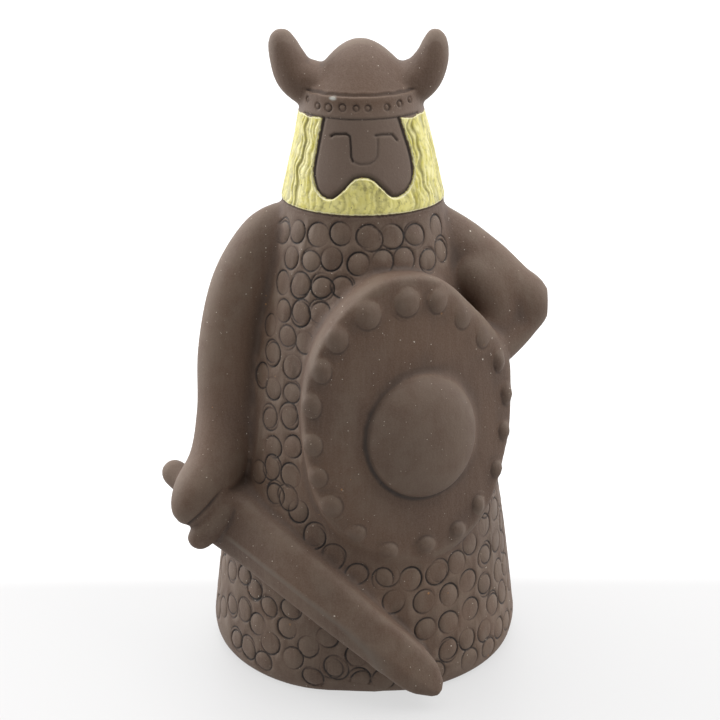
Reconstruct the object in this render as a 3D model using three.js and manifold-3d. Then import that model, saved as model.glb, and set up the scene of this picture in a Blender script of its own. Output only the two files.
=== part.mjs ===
// A small standing warrior figure in dark fired clay, about 200 mm tall.
// Millimetres, +Z up. The figure looks along -Y. The origin is the centre of the flat underside.
// "Left" and "right" are those of somebody who faces the figure: left is -X.

import * as THREE from 'three';
import { mergeVertices } from 'three/addons/utils/BufferGeometryUtils.js';
import Module from 'manifold-3d';

const wasm = await Module();
wasm.setup();

const radians = THREE.MathUtils.degToRad;

// Body: a round cone with a soft lower edge
const BODY_RADIUS = 51.3;
const BODY_TAPER = 0.107;
const BODY_CURVE = 0.00048;
const BODY_TOP = 150.4;
const FOOT_IN = 2.3;
const FOOT_UP = 7;
const BODY_SIDES = 34;
const FRONT_FLAT = 2;
const FRONT_FLAT_AT = -4;
const FRONT_FLAT_REACH = 15;
const FRONT_FLAT_UP = 30;

// Hair and beard: a steeper cone of wavy locks, which overhangs the body a little
const HAIR_BOTTOM = 148.9;
const HAIR_TOP = 176.0;
const HAIR_RADIUS_BOTTOM = 25.5;
const HAIR_RADIUS_TOP = 19.2;
const LOCK_COUNT = 34;
const LOCK_DEPTH = 0.45;
const LOCK_WAVE = 0.8;

// Helmet: a band with dots and a low pointed dome
const BAND_BOTTOM = 176.6;
const BAND_TOP = 183.1;
const BAND_RADIUS_BOTTOM = 18.9;
const BAND_NECK = 17.8;
const BAND_RADIUS_TOP = 17.8;
const BAND_DOT_DEGREES = [
  -55, -43, -30.6, -16.6, -3.5, 6.1, 24.3, 37.9, 53.5, 135, 150, 165, 180, 195, 210, 225,
];
const BAND_DOT_RADIUS = 1.6;
const BAND_DOT_DEPTH = 0.7;
const DOME_TOP = 197.1;
const DOME_CURVE = 0.0585;
const DOME_FLARE = 0.0000277;
const DOME_SHIFT = 0.9;
const DOME_SHIFT_UP = 5;
const HELMET_SIDES = 28;
const HEAD_LEAN = 0.05;
const HEAD_LEAN_FROM = 168;

// Face: its outline is a cut line, and the brow and nose stand a little proud inside it
const FACE_LINE = 1.3;
const FACE_LINE_DEPTH = 1.3;
const NOSE_PROUD = 0.9;

// Shield: an oval plate, bent round the body, with a domed boss and a ring of studs
const SHIELD_AZIMUTH = 22.1;
const SHIELD_LEAN = 6;
const SHIELD_DISTANCE = 42.3;
const SHIELD_HEIGHT = 87.7;
const SHIELD_BEND = 91;
const SHIELD_RADIUS = 45.1;
const SHIELD_OVAL = 0.82;
const SHIELD_ACROSS = 0.3;
const SHIELD_UP = 0.5;
const SHIELD_SIDES = 32;
const SHIELD_DEPTH = 15;
const SHIELD_ROUND = 2.2;
const LEFT_DROP = 3.6;
const LEFT_DROP_AT = 262;
const LEFT_DROP_REACH = 58;
const LEFT_DROP_FROM = 22;
const LEFT_DROP_RING = 33;
const BOSS_RADIUS = 19.15;
const BOSS_OVAL = 0.93;
const BOSS_ACROSS = 1.7;
const BOSS_UP = -3.6;
const BOSS_HEIGHT = 7.2;
const BOSS_STEP = 1;
const BOSS_SINK = 1;
const STUD_OVAL = 0.84;
const STUD_TOP = 0.5;
const STUD_HEIGHT = 1.7;
const STUD_SINK = 0.4;
const STUD_SIDES = 6;

// The rim was shaped by hand: [degrees from the top, reach in degrees, how far it stands out or in]
const RIM_UNEVEN = [[38, 15, -2.1], [73, 11, 1.8], [117, 13, -1], [232, 15, 1.2], [345, 14, 1.1]];

// The studs: [degrees from the top, ring radius, half across, half up]
const STUDS = [
  [357, 38, 3.9, 4.2], [15, 38.5, 3.1, 3.7], [33, 37, 3, 3.7], [51, 37.5, 2.7, 3.6],
  [68, 39.5, 2.2, 3.6], [85, 40.5, 2.2, 3.6], [102, 39.5, 2.2, 3.1], [120, 39.5, 2.2, 2.8],
  [140, 38.5, 2.3, 3], [157, 39, 2.7, 2.7], [177, 38.5, 3, 2.7], [198, 40.5, 3.1, 2.6],
  [217, 40, 3.1, 2.8], [235, 40, 3.6, 3.8], [250, 39.5, 3.1, 3.3], [265, 38.5, 3.1, 3.6],
  [283, 39, 3.1, 3.9], [300, 39, 3, 3.8], [316, 40, 3.4, 4], [335, 39, 3.9, 4.2],
];

// Sword: the blade lies round the body in one slanting plane, z = rise - acrossX * x - acrossY * y
const BLADE_RISE = -3.4;
const BLADE_ACROSS_X = 0.885;
const BLADE_ACROSS_Y = 0.533;
const BLADE_START = -62;
const BLADE_END = 22.5;
const BLADE_WIDTH = 21.6;
const BLADE_TIP_WIDTH = 11.6;
const BLADE_PROUD = 4.8;
const BLADE_LIFT = 5;
const BLADE_TIP_LIFT = 4.7;
const BLADE_RIB = 1.6;
const BLADE_RIDGE = -0.24;
const BLADE_EDGE_DROP = 0.9;
const BLADE_DEPTH = 6;
const BLADE_TIP_FROM = 0.92;
const BLADE_TIP_BLUNT = 0.2;
const BLADE_LIFT_SHARE = 0.3;
const BLADE_LOWEST = 0.4;

// Mail: rings pressed into the clay with a small tube, as far round as they show from the front
const MAIL_RADIUS = 3.4;
const MAIL_LINE = 0.8;
const MAIL_DEPTH = 0.55;
const MAIL_PITCH = 7.85;
const MAIL_ABOVE = 0.35;
const MAIL_SIDES = 6;
const MAIL_TOP = 142.5;
const MAIL_BOTTOM = 12;
const MAIL_REACH = 0.64;
const MAIL_TUCK = 3;
const MAIL_SHIELD_ACROSS = 16;
const MAIL_PAST_BLADE = 26;
const MAIL_BLADE_SHARE = 0.6;

const bodyRadius = (z) => BODY_RADIUS - BODY_TAPER * z - BODY_CURVE * z * z;

// Solids: a closed geometry becomes a solid that can be joined and cut
function solidOf(geometry) {
  const bare = geometry.clone();
  bare.deleteAttribute('normal');
  bare.deleteAttribute('uv');
  const merged = mergeVertices(bare, 1e-4);
  const mesh = new wasm.Mesh({
    numProp: 3,
    vertProperties: Float32Array.from(merged.attributes.position.array),
    triVerts: Uint32Array.from(merged.index.array),
  });
  return new wasm.Manifold(mesh);
}

function geometryOf(solid) {
  const mesh = solid.getMesh();
  const geometry = new THREE.BufferGeometry();
  geometry.setAttribute('position', new THREE.BufferAttribute(mesh.vertProperties, 3));
  geometry.setIndex(new THREE.BufferAttribute(mesh.triVerts, 1));
  geometry.computeVertexNormals();
  return geometry;
}

function moveVertices(geometry, move) {
  const position = geometry.attributes.position;
  const point = new THREE.Vector3();
  for (let i = 0; i < position.count; i += 1) {
    point.fromBufferAttribute(position, i);
    move(point);
    position.setXYZ(i, point.x, point.y, point.z);
  }
  return geometry;
}

// A profile of [radius, height] pairs, turned about the figure's upright axis
function turned(profile, sides) {
  const points = profile.map(([radius, height]) => new THREE.Vector2(radius, height));
  return new THREE.LatheGeometry(points, sides).rotateX(Math.PI / 2);
}

// A limb: a round rod along a smooth line, with a width and a depth that change on the way.
// Each station is [x, y, z, half width, half depth]; the depth is measured away from the body.
function limb(stations, sides, steps) {
  const line = new THREE.CatmullRomCurve3(stations.map(([x, y, z]) => new THREE.Vector3(x, y, z)));
  const size = new THREE.CatmullRomCurve3(stations.map(([, , , w, d]) => new THREE.Vector3(w, d, 0)));
  const rod = new THREE.SphereGeometry(1, sides, steps);
  const outward = new THREE.Vector3();
  const across = new THREE.Vector3();
  return solidOf(moveVertices(rod, (point) => {
    const polar = Math.acos(THREE.MathUtils.clamp(point.y, -1, 1)) / Math.PI;
    const place = line.getPoint(polar);
    const along = line.getTangent(polar);
    const { x: halfWidth, y: halfDepth } = size.getPoint(polar);
    const ring = Math.hypot(point.x, point.z);
    const ends = Math.sqrt(1 - (2 * polar - 1) ** 8);
    const turn = Math.atan2(point.z, point.x);
    const scale = ring > 1e-6 ? ends : 0;
    outward.set(place.x, place.y, 0).normalize();
    outward.addScaledVector(along, -outward.dot(along)).normalize();
    across.crossVectors(outward, along);
    point.copy(place);
    point.addScaledVector(across, Math.cos(turn) * halfWidth * scale);
    point.addScaledVector(outward, Math.sin(turn) * halfDepth * scale);
  }));
}

// The coat's lower edge is a little flat in front
function pressFront(point) {
  const degrees = THREE.MathUtils.radToDeg(Math.atan2(point.x, -point.y));
  const near = Math.exp(-(((degrees - FRONT_FLAT_AT) / FRONT_FLAT_REACH) ** 2));
  const radius = Math.hypot(point.x, point.y);
  if (radius < 1) return;
  const press = FRONT_FLAT * near * Math.max(0, 1 - point.z / FRONT_FLAT_UP);
  point.x *= 1 - press / radius;
  point.y *= 1 - press / radius;
}

function makeBody() {
  const profile = [[0, 0]];
  const footSteps = 3;
  for (let step = 0; step <= footSteps; step += 1) {
    const turn = (step / footSteps) * (Math.PI / 2);
    const radius = bodyRadius(FOOT_UP) - FOOT_IN * (1 - Math.sin(turn));
    profile.push([radius, FOOT_UP * (1 - Math.cos(turn))]);
  }
  for (const height of [40, 80, 115, BODY_TOP]) {
    profile.push([bodyRadius(height), height]);
  }
  profile.push([0, BODY_TOP]);
  return solidOf(moveVertices(turned(profile, BODY_SIDES), pressFront));
}

// The locks are a radius that goes in and out round the head, on lines that wave down the hair
function makeHair() {
  const rows = 4;
  const profile = [[0, HAIR_BOTTOM]];
  for (let row = 0; row <= rows; row += 1) {
    const share = row / rows;
    const radius = THREE.MathUtils.lerp(HAIR_RADIUS_BOTTOM, HAIR_RADIUS_TOP, share);
    profile.push([radius, THREE.MathUtils.lerp(HAIR_BOTTOM, HAIR_TOP, share)]);
  }
  profile.push([0, HAIR_TOP]);
  return solidOf(moveVertices(turned(profile, LOCK_COUNT * 2), (point) => {
    const radius = Math.hypot(point.x, point.y);
    if (radius < 1) return;
    const angle = Math.atan2(point.y, point.x);
    const wave = (LOCK_WAVE / radius) * Math.sin(point.z * 1.1 + 2 * Math.sin(3 * angle));
    const inFace = insideFace(point) ? 0 : 1;
    const crest = radius - LOCK_DEPTH * inFace * (0.5 + 0.5 * Math.cos(LOCK_COUNT * angle));
    point.set(crest * Math.cos(angle + wave * inFace), crest * Math.sin(angle + wave * inFace), point.z);
  }));
}

// The face seen from the front: the cheeks end in two round bags, with the beard rising between them
function faceOutline(grow) {
  const outline = new THREE.Shape();
  const half = 12.1 + grow;
  const top = 178;
  outline.moveTo(-half, top);
  outline.bezierCurveTo(-half - 1.5, 170, -15.2 - grow, 166, -15.1 - grow, 160);
  outline.bezierCurveTo(-15.1 - grow, 155.5 - grow, -12.6, 153.4 - grow, -10.2, 153.4 - grow);
  outline.bezierCurveTo(-6, 153.4 - grow, -6 + grow, 159.7 - grow, 0, 159.7 - grow);
  outline.bezierCurveTo(6 - grow, 159.7 - grow, 6, 153.6 - grow, 9.9, 153.6 - grow);
  outline.bezierCurveTo(12.6, 153.6 - grow, 15.4 + grow, 155.5 - grow, 15.4 + grow, 160);
  outline.bezierCurveTo(15.4 + grow, 166, half + 1.5, 170, half, top);
  outline.closePath();
  return outline;
}

const FACE_POINTS = faceOutline(0).getPoints(10);

function insideFace(point) {
  if (point.y > 0) return false;
  let inside = false;
  for (let i = 0, j = FACE_POINTS.length - 1; i < FACE_POINTS.length; j = i, i += 1) {
    const a = FACE_POINTS[i];
    const b = FACE_POINTS[j];
    const crosses = (a.y > point.z) !== (b.y > point.z);
    if (crosses && point.x < ((b.x - a.x) * (point.z - a.y)) / (b.y - a.y) + a.x) inside = !inside;
  }
  return inside;
}

// A flat outline in X and Z, drawn out along Y through the front of the head
function throughFace(outline, curveSegments) {
  const reach = 30;
  const flat = new THREE.ExtrudeGeometry(outline, { depth: reach, bevelEnabled: false, curveSegments });
  return solidOf(flat.rotateX(Math.PI / 2));
}

function headCone(proud) {
  return solidOf(turned([
    [0, HAIR_BOTTOM - 1],
    [HAIR_RADIUS_BOTTOM + proud, HAIR_BOTTOM],
    [HAIR_RADIUS_TOP + proud, HAIR_TOP],
    [0, HAIR_TOP + 1],
  ], BODY_SIDES));
}

function cutFace(head) {
  const outer = throughFace(faceOutline(FACE_LINE / 2), 5);
  const inner = throughFace(faceOutline(-FACE_LINE / 2), 5);
  return head.subtract(outer.subtract(inner).subtract(headCone(-FACE_LINE_DEPTH)));
}

function makeNose() {
  const nose = new THREE.Shape([
    [-10.4, 176], [-10.2, 171.4], [-4.4, 171.9], [-3.7, 165.6], [-2.4, 163.9], [0.6, 163.3],
    [2.9, 163.9], [4.5, 165.6], [4.6, 171.4], [10.6, 170.6], [11.2, 176],
  ].map(([x, z]) => new THREE.Vector2(x, z)));
  return throughFace(nose, 1).intersect(headCone(NOSE_PROUD));
}

function makeHelmet() {
  const profile = [
    [0, BAND_BOTTOM - 2],
    [BAND_NECK, BAND_BOTTOM - 2],
    [BAND_NECK, BAND_BOTTOM],
    [BAND_RADIUS_BOTTOM - 0.4, BAND_BOTTOM],
    [BAND_RADIUS_BOTTOM, BAND_BOTTOM + 0.6],
    [BAND_RADIUS_TOP, BAND_TOP - 0.5],
    [BAND_RADIUS_TOP - 1.2, BAND_TOP],
  ];
  const rows = 5;
  for (let row = 0; row < rows; row += 1) {
    const radius = (BAND_RADIUS_TOP - 1.3) * (1 - row / rows);
    const drop = DOME_CURVE * radius ** 2 - DOME_FLARE * radius ** 4;
    profile.push([radius, Math.max(BAND_TOP + 0.1, DOME_TOP - drop)]);
  }
  profile.push([0, DOME_TOP]);
  return solidOf(moveVertices(turned(profile, HELMET_SIDES), (point) => {
    point.x += DOME_SHIFT * THREE.MathUtils.smoothstep(point.z, BAND_TOP, BAND_TOP + DOME_SHIFT_UP);
  }));
}

function bandDots() {
  const middle = (BAND_BOTTOM + BAND_TOP) / 2;
  const radius = (BAND_RADIUS_BOTTOM + BAND_RADIUS_TOP) / 2;
  return wasm.Manifold.union(BAND_DOT_DEGREES.map((degrees) => {
    const dot = new THREE.ConeGeometry(BAND_DOT_RADIUS, 2 * BAND_DOT_DEPTH, 4);
    return solidOf(dot.rotateX(Math.PI).translate(0, -radius, middle).rotateZ(radians(degrees)));
  }));
}

// The left horn is a little thicker and more upright than the right one
function makeHorn(side) {
  const thick = side < 0 ? 0.4 : 0;
  const upright = side < 0 ? 0.8 : 0;
  return limb([
    [side * 8, 0, 183.4, 7.2, 7],
    [side * 14, 0, 183.3, 7.9, 7 + thick],
    [side * 18.9, 0, 186, 7.3, 6.2 + thick],
    [side * (22.1 - upright), 0, 191, 6.1, 5.1 + thick],
    [side * (23.3 - upright), 0, 196.1, 4.7, 3.9 + thick],
    [side * (23.2 - upright), 0, 200, 2.8, 2.4 + thick],
  ], 8, 10);
}

// The head leans a little to the left, from the face upwards
function makeHead() {
  const head = cutFace(makeHair()).add(makeNose()).add(makeHelmet()).subtract(bandDots());
  const horned = head.add(makeHorn(-1)).add(makeHorn(1));
  return solidOf(moveVertices(geometryOf(horned), (point) => {
    point.x -= HEAD_LEAN * Math.max(0, point.z - HEAD_LEAN_FROM);
  }));
}

// One ring: a shallow groove with a pointed bottom, pressed square to the body at an angle and height
function mailRing(turn, height) {
  const profile = [
    new THREE.Vector2(MAIL_RADIUS - MAIL_LINE / 2, MAIL_ABOVE),
    new THREE.Vector2(MAIL_RADIUS, -MAIL_DEPTH),
    new THREE.Vector2(MAIL_RADIUS + MAIL_LINE / 2, MAIL_ABOVE),
    new THREE.Vector2(MAIL_RADIUS - MAIL_LINE / 2, MAIL_ABOVE),
  ];
  const lean = Math.atan(BODY_TAPER + 2 * BODY_CURVE * height);
  const radius = bodyRadius(height);
  const ring = new THREE.LatheGeometry(profile, MAIL_SIDES);
  ring.rotateX(Math.PI - lean).translate(0, -radius, height).rotateZ(turn);
  return solidOf(ring);
}

// The mail is left off where the shield and the sword cover the body
function showsMail(turn, height) {
  const across = turn * bodyRadius(height);
  const shieldSide = (across - MAIL_SHIELD_ACROSS) / (SHIELD_RADIUS * SHIELD_OVAL - MAIL_TUCK);
  const shieldUp = (height - SHIELD_HEIGHT) / (SHIELD_RADIUS - MAIL_TUCK);
  if (shieldSide ** 2 + shieldUp ** 2 < 1) return false;
  const underBlade = BLADE_RISE + bodyRadius(height)
    * (BLADE_ACROSS_Y * Math.cos(turn) - BLADE_ACROSS_X * Math.sin(turn));
  return across > MAIL_PAST_BLADE || Math.abs(height - underBlade) > BLADE_WIDTH * MAIL_BLADE_SHARE;
}

// Rows of rings on the front, each row shifted by half a ring
function mailRings() {
  const rings = [];
  for (let row = 0; MAIL_TOP - row * MAIL_PITCH > MAIL_BOTTOM; row += 1) {
    const height = MAIL_TOP - row * MAIL_PITCH;
    const step = MAIL_PITCH / bodyRadius(height);
    const count = Math.floor(MAIL_REACH / step);
    for (let i = -count; i <= count; i += 1) {
      const turn = (i + (row % 2) / 2) * step;
      if (showsMail(turn, height)) rings.push(mailRing(turn, height));
    }
  }
  return wasm.Manifold.union(rings);
}

function makeHangingArm() {
  return limb([
    [-18, 0, 144.5, 6, 6.5],
    [-24.2, -1, 139.7, 7.5, 8.4],
    [-29.8, -2, 134.8, 9.2, 9.6],
    [-37.4, -4.5, 121.3, 9.9, 10.2],
    [-42, -7.5, 101, 10.1, 10.2],
    [-43, -12.5, 81, 9.9, 10],
    [-46.2, -20, 67.4, 9.5, 9.3],
    [-52, -26, 59.3, 9.2, 8.8],
    [-58, -29.4, 50.7, 7.2, 7.3],
  ], 12, 17);
}

// The bent arm goes in behind the shield, and a web of clay fills most of its crook
function makeBentArm() {
  const arm = limb([
    [15, 0, 144.5, 6, 6.5],
    [21, -0.5, 139.3, 7.5, 8.5],
    [27.2, -1, 133.7, 8.6, 9.8],
    [37.2, -2.5, 125.9, 8.9, 9.8],
    [45.4, -4.2, 119.3, 8.2, 9],
    [50.2, -5.4, 115.6, 6.6, 8.6],
    [47.6, -6.6, 111.2, 5.8, 8.2],
    [43.2, -9, 107, 6.6, 8.4],
    [37.6, -12, 103, 7.6, 8.6],
    [31, -14, 100, 6, 5],
  ], 12, 17);
  const web = limb([
    [29, -8, 131, 6.5, 6.5],
    [41, -7, 115, 8, 8.5],
    [34, -12, 98, 6, 5],
  ], 8, 5);
  return arm.add(web);
}

// The sword's grip runs through the fist, with a ball behind it and a thick round guard before it
function makeHilt() {
  const pommel = limb([
    [-63, -12, 63, 3, 3],
    [-60, -15, 61.1, 4.3, 4.3],
    [-55, -20, 58.8, 4.2, 4.2],
  ], 8, 8);
  const grip = limb([
    [-58, -17, 59, 4, 4],
    [-52, -22, 55, 4, 4],
    [-45, -28, 49, 4, 4],
  ], 6, 4);
  const guard = limb([
    [-53.8, -28.6, 43, 3.1, 3.5],
    [-50.7, -29.6, 46.8, 4, 4.6],
    [-45.9, -29.2, 53.4, 4.3, 4.6],
    [-40.5, -26.6, 60.8, 3.6, 3.8],
  ], 10, 8);
  return pommel.add(grip).add(guard);
}

// The height of the blade's middle line at an angle round the body, at its own distance from it
function bladeMiddle(angle, proud) {
  let height = 20;
  for (let pass = 0; pass < 6; pass += 1) {
    const reach = bodyRadius(height) + proud;
    height = BLADE_RISE + reach * (BLADE_ACROSS_Y * Math.cos(angle) - BLADE_ACROSS_X * Math.sin(angle));
  }
  return height;
}

// The blade is a flat bar, bent round the body, with a low ridge along it and a round tip
function makeBlade() {
  const bar = new THREE.BoxGeometry(1, 1, 1, 12, 4, 1);
  return solidOf(moveVertices(bar, (point) => {
    const along = point.x + 0.5;
    const edge = Math.abs(point.y * 2);
    const side = point.y * 2 + BLADE_RIDGE * (1 - edge);
    const pastTip = Math.max(0, (along - BLADE_TIP_FROM) / (1 - BLADE_TIP_FROM));
    const tip = Math.sqrt(Math.max(BLADE_TIP_BLUNT, 1 - pastTip ** 2));
    const half = (THREE.MathUtils.lerp(BLADE_WIDTH, BLADE_TIP_WIDTH, along) / 2) * tip;
    const angle = radians(THREE.MathUtils.lerp(BLADE_START, BLADE_END, along));
    const guardLift = BLADE_LIFT * Math.max(0, 1 - along / BLADE_LIFT_SHARE) ** 2;
    const lift = BLADE_PROUD + guardLift + BLADE_TIP_LIFT * along ** 3;
    const slope = Math.atan(BLADE_ACROSS_Y * Math.sin(angle) + BLADE_ACROSS_X * Math.cos(angle));
    const middle = bladeMiddle(angle, lift);
    const height = Math.max(middle + side * half * Math.cos(slope), BLADE_LOWEST);
    const turn = angle + (side * half * Math.sin(slope)) / bodyRadius(middle);
    const proud = lift + BLADE_RIB * (1 - edge) - (edge === 1 ? BLADE_EDGE_DROP : 0);
    const radius = bodyRadius(height) + (point.z > 0 ? proud : -BLADE_DEPTH);
    point.set(radius * Math.sin(turn), -radius * Math.cos(turn), height);
  }));
}

// The plate's left side bends down to the body
function leftDrop(across, up) {
  const degrees = THREE.MathUtils.radToDeg(Math.atan2(across, up));
  const away = THREE.MathUtils.euclideanModulo(degrees - LEFT_DROP_AT + 180, 360) - 180;
  const radius = Math.hypot(across / SHIELD_OVAL, up);
  const outer = Math.max(0, radius - LEFT_DROP_FROM) / (SHIELD_RADIUS - LEFT_DROP_FROM);
  return LEFT_DROP * Math.exp(-((away / LEFT_DROP_REACH) ** 2)) * outer ** 2;
}

// A place on the shield's bent face: across and up its plate, and out from it
function onShield(point) {
  const azimuth = radians(SHIELD_AZIMUTH);
  const lean = radians(SHIELD_LEAN);
  const level = new THREE.Vector3(Math.sin(azimuth), -Math.cos(azimuth), 0);
  const right = new THREE.Vector3(Math.cos(azimuth), Math.sin(azimuth), 0);
  const out = level.clone().multiplyScalar(Math.cos(lean)).add(new THREE.Vector3(0, 0, Math.sin(lean)));
  const up = level.clone().multiplyScalar(-Math.sin(lean)).add(new THREE.Vector3(0, 0, Math.cos(lean)));
  const turn = point.x / SHIELD_BEND;
  const reach = SHIELD_BEND + point.z - leftDrop(point.x, point.y);
  const rise = point.y;
  point.copy(level).multiplyScalar(SHIELD_DISTANCE);
  point.z = SHIELD_HEIGHT;
  point.addScaledVector(up, rise);
  point.addScaledVector(right, reach * Math.sin(turn));
  point.addScaledVector(out, reach * Math.cos(turn) - SHIELD_BEND);
}

// A round pad on the shield's bent face; its place says how far across and up, and how wide and high
function shieldPad(profile, sides, place) {
  const pad = new THREE.LatheGeometry(profile.map(([r, h]) => new THREE.Vector2(r, h)), sides);
  pad.rotateX(Math.PI / 2).scale(place.wide, place.high, 1).translate(place.across, place.up, 0);
  return solidOf(moveVertices(pad, onShield));
}

function rimUneven(degrees) {
  return RIM_UNEVEN.reduce((sum, [middle, reach, out]) => {
    const away = THREE.MathUtils.euclideanModulo(degrees - middle + 180, 360) - 180;
    return sum + out * Math.exp(-((away / reach) ** 2));
  }, 0);
}

function makePlate() {
  const profile = [[0, -SHIELD_DEPTH], [SHIELD_RADIUS, -SHIELD_DEPTH]];
  const steps = 2;
  for (let step = 0; step <= steps; step += 1) {
    const turn = (step / steps) * (Math.PI / 2);
    profile.push([
      SHIELD_RADIUS - SHIELD_ROUND * (1 - Math.cos(turn)),
      SHIELD_ROUND * (Math.sin(turn) - 1),
    ]);
  }
  profile.push([LEFT_DROP_RING, 0], [BOSS_RADIUS, 0], [0, 0]);
  const points = profile.map(([radius, height]) => new THREE.Vector2(radius, height));
  const plate = new THREE.LatheGeometry(points, SHIELD_SIDES).rotateX(Math.PI / 2);
  return solidOf(moveVertices(plate, (point) => {
    const radius = Math.hypot(point.x, point.y);
    const degrees = THREE.MathUtils.radToDeg(Math.atan2(point.x, point.y));
    const grow = radius > BOSS_RADIUS + 1 ? (radius + rimUneven(degrees)) / radius : 1;
    point.x = point.x * grow * SHIELD_OVAL + SHIELD_ACROSS;
    point.y = point.y * grow + SHIELD_UP;
    onShield(point);
  }));
}

function makeBoss() {
  const profile = [[0, -BOSS_SINK], [BOSS_RADIUS, -BOSS_SINK], [BOSS_RADIUS, BOSS_STEP]];
  const steps = 5;
  for (let step = 1; step < steps; step += 1) {
    const turn = (step / steps) * (Math.PI / 2);
    const rise = BOSS_STEP + (BOSS_HEIGHT - BOSS_STEP) * Math.sin(turn);
    profile.push([BOSS_RADIUS * Math.cos(turn), rise]);
  }
  profile.push([0, BOSS_HEIGHT]);
  return shieldPad(profile, SHIELD_SIDES, {
    across: BOSS_ACROSS, up: BOSS_UP, wide: BOSS_OVAL, high: 1,
  });
}

function makeStuds() {
  const profile = [[0, -STUD_SINK], [1, -STUD_SINK], [1, 0], [STUD_TOP, STUD_HEIGHT], [0, STUD_HEIGHT]];
  return wasm.Manifold.union(STUDS.map(([degrees, ring, wide, high]) => {
    const turn = radians(degrees);
    return shieldPad(profile, STUD_SIDES, {
      across: STUD_OVAL * ring * Math.sin(turn), up: ring * Math.cos(turn), wide, high,
    });
  }));
}

function makeFigure() {
  const parts = [
    makeBody().subtract(mailRings()), makeHead(), makeHangingArm(), makeBentArm(),
    makeHilt(), makeBlade(), makePlate(), makeBoss(), makeStuds(),
  ];
  return wasm.Manifold.union(parts);
}

const clay = new THREE.MeshStandardMaterial({ color: 0x5f4f45, roughness: 0.85, metalness: 0 });
const figure = new THREE.Mesh(geometryOf(makeFigure()), clay);
figure.name = 'viking_figure';

const group = new THREE.Group();
group.add(figure);
export default group;
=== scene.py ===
import math

import bmesh
import bpy
import numpy as np
from mathutils import Matrix, Vector


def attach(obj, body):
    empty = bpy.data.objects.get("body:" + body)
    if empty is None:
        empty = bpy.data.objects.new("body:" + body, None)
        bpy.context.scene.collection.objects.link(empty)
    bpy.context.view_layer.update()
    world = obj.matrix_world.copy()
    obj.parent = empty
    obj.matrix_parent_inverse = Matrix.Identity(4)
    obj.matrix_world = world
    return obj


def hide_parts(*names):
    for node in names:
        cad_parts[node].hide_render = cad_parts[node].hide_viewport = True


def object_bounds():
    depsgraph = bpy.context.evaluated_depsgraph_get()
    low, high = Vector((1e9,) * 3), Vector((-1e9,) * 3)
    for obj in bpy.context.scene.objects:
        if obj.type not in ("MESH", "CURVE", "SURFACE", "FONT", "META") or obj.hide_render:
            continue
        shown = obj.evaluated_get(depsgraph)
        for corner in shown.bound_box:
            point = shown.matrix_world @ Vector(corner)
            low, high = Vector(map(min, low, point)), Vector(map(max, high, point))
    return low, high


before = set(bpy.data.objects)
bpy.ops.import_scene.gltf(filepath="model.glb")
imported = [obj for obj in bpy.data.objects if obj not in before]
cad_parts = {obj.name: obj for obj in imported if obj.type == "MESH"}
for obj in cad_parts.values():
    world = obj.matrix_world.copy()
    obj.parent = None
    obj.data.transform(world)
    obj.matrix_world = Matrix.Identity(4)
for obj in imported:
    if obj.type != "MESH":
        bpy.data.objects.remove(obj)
cad_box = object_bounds()

MM = 0.001


# Room: a pale table top that glows white from just behind the figure, with white light all round.
# Two large soft lights stand above the figure, and one to each side, a little behind it.

CAMERA_BACK = 482.4
CAMERA_UP = 273.8
CAMERA_LEFT = 1.06
CAMERA_DOWN_DEGREES = 20.42
CAMERA_ROLL_DEGREES = 0.235
CAMERA_LENS = 80
CAMERA_SENSOR = 36
TABLE_HALF = 2500
TABLE_DROP = 0.05
GLOW_START = 20
GLOW_END = 50
FLOOR_GLOW = 0.63
SKY_FRONT = 0.32
SKY_BACK = 2.1
SKY_TURNS_FROM = -0.7
SKY_TURNS_TO = 0.8
LIGHT_TARGET = (0, 0, 100)
# Each light has a name, a place, a size and a power in watts.
LIGHTS = [
    ("top light", (-150, 150, 900), 700, 5),
    ("side light", (500, -150, 700), 500, 3),
    ("left rim light", (-700, 250, 350), 500, 4),
    ("right rim light", (700, 250, 250), 500, 1),
]


def linear(hex_colour):
    """A colour written as sRGB hex, as the linear RGBA that shaders use."""
    channels = [int(hex_colour[i:i + 2], 16) / 255 for i in (1, 3, 5)]
    straight = [c / 12.92 if c <= 0.04045 else ((c + 0.055) / 1.055) ** 2.4 for c in channels]
    return (*straight, 1)


def add_node(tree, kind, settings=None, inputs=None):
    """A shader node with its settings, and with each input set to a value or linked to a socket."""
    node = tree.nodes.new(kind)
    for name, value in (settings or {}).items():
        setattr(node, name, value)
    for name, value in (inputs or {}).items():
        if isinstance(value, bpy.types.NodeSocket):
            tree.links.new(value, node.inputs[name])
        else:
            node.inputs[name].default_value = value
    return node


def new_material(name):
    """An empty node material, with its tree and its output node."""
    material = bpy.data.materials.new(name)
    material.use_nodes = True
    material.node_tree.nodes.clear()
    return material, material.node_tree, add_node(material.node_tree, "ShaderNodeOutputMaterial")


def add_object(name, shape):
    """A new object from a bmesh, smooth shaded and linked to the scene."""
    mesh = bpy.data.meshes.new(name)
    shape.to_mesh(mesh)
    shape.free()
    mesh.shade_smooth()
    made = bpy.data.objects.new(name, mesh)
    bpy.context.scene.collection.objects.link(made)
    return made


def make_camera():
    """A camera in front of the figure, a little above it, looking down on it."""
    data = bpy.data.cameras.new("camera")
    data.lens = CAMERA_LENS
    data.sensor_width = CAMERA_SENSOR
    camera = bpy.data.objects.new("camera", data)
    turn = Matrix.Rotation(math.radians(90 - CAMERA_DOWN_DEGREES), 4, "X")
    roll = Matrix.Rotation(math.radians(-CAMERA_ROLL_DEGREES), 4, "Z")
    place = Vector((-CAMERA_LEFT, -CAMERA_BACK, CAMERA_UP)) * MM
    camera.matrix_world = Matrix.Translation(place) @ turn @ roll
    bpy.context.scene.collection.objects.link(camera)
    bpy.context.scene.camera = camera


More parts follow.
